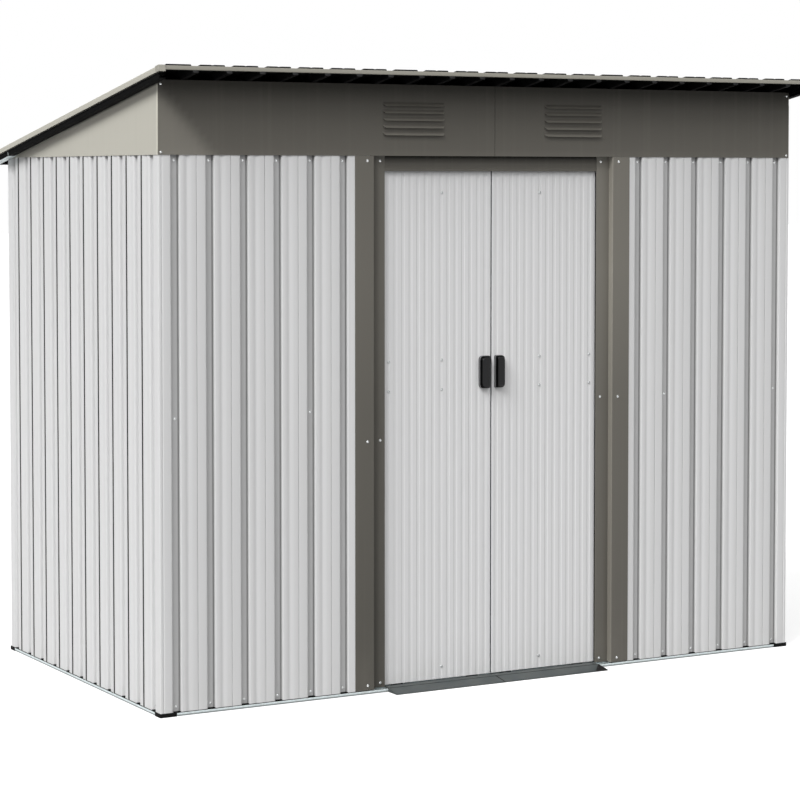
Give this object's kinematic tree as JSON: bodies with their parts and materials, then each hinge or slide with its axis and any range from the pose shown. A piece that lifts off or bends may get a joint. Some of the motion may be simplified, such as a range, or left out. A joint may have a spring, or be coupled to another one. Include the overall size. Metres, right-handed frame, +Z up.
{
  "type": "storage shed",
  "caption": "Metal lean-to garden storage shed with corrugated walls, a sloping corrugated roof, a louvred fascia and two sliding doors.",
  "frame": {"origin": "on the ground, under the middle of the roof, which is the middle of the walls too", "axes": "+X to the right along the doorway side, +Y from the doors to the back wall, +Z up"},
  "size_m": [2.3952, 1.4258, 1.9233],
  "materials": {
    "wall_paint": "satin off-white coat on corrugated steel",
    "door_paint": "satin pale grey coat on finely ribbed steel",
    "taupe_paint": "satin taupe coat on folded steel",
    "roof_paint": "satin black coat on corrugated steel",
    "galvanised": "zinc coated, dull",
    "door_steel": "zinc coated, dull",
    "ramp_steel": "satin slate grey coat",
    "stone_paint": "satin stone beige coat on folded steel",
    "stone_plastic": "matt moulded",
    "black_plastic": "fine matt moulded"
  },
  "bodies": {
    "shell": {"base_rail_front": "galvanised", "base_rail_back": "galvanised", "base_rail_left": "galvanised", "base_rail_right": "galvanised", "corner_feet": "black_plastic", "corner_post_front_left": "wall_paint", "corner_post_front_right": "wall_paint", "corner_posts_back": "wall_paint", "front_wall_left": "wall_paint", "front_wall_right": "wall_paint", "left_wall": "wall_paint", "right_wall": "wall_paint", "back_wall_left": "wall_paint", "back_wall_right": "wall_paint", "mid_rails": "galvanised", "top_rails": "galvanised", "jamb_left": "taupe_paint", "jamb_right": "taupe_paint", "door_header": "taupe_paint", "door_track_top": "galvanised", "door_track_bottom": "galvanised", "fascia_left": "taupe_paint", "fascia_right": "taupe_paint", "gable_left": "stone_paint", "gable_right": "stone_paint", "roof_beams": "galvanised", "roof_edge_rails": "galvanised", "roof_panel_left": "roof_paint", "roof_panel_centre": "roof_paint", "roof_panel_right": "roof_paint", "roof_trim_front": "stone_paint", "roof_trim_back": "stone_paint", "roof_trim_left": "stone_paint", "roof_trim_right": "stone_paint", "roof_corner_caps": "stone_plastic", "ramp": "ramp_steel", "ramp_end_cap": "black_plastic"},
    "door_left": {"door_left_panel": "door_paint", "door_left_frame": "door_steel", "door_left_handle": "black_plastic", "door_left_sliders": "black_plastic"},
    "door_right": {"door_right_panel": "door_paint", "door_right_frame": "door_steel", "door_right_handle": "black_plastic", "door_right_sliders": "black_plastic"}
  },
  "joints": [
    {"name": "door_left_slide", "type": "slide", "parent": "shell", "child": "door_left", "axis": [-1, 0, 0], "range_m": [0, 0.34]},
    {"name": "door_right_slide", "type": "slide", "parent": "shell", "child": "door_right", "axis": [1, 0, 0], "range_m": [0, 0.34]}
  ]
}
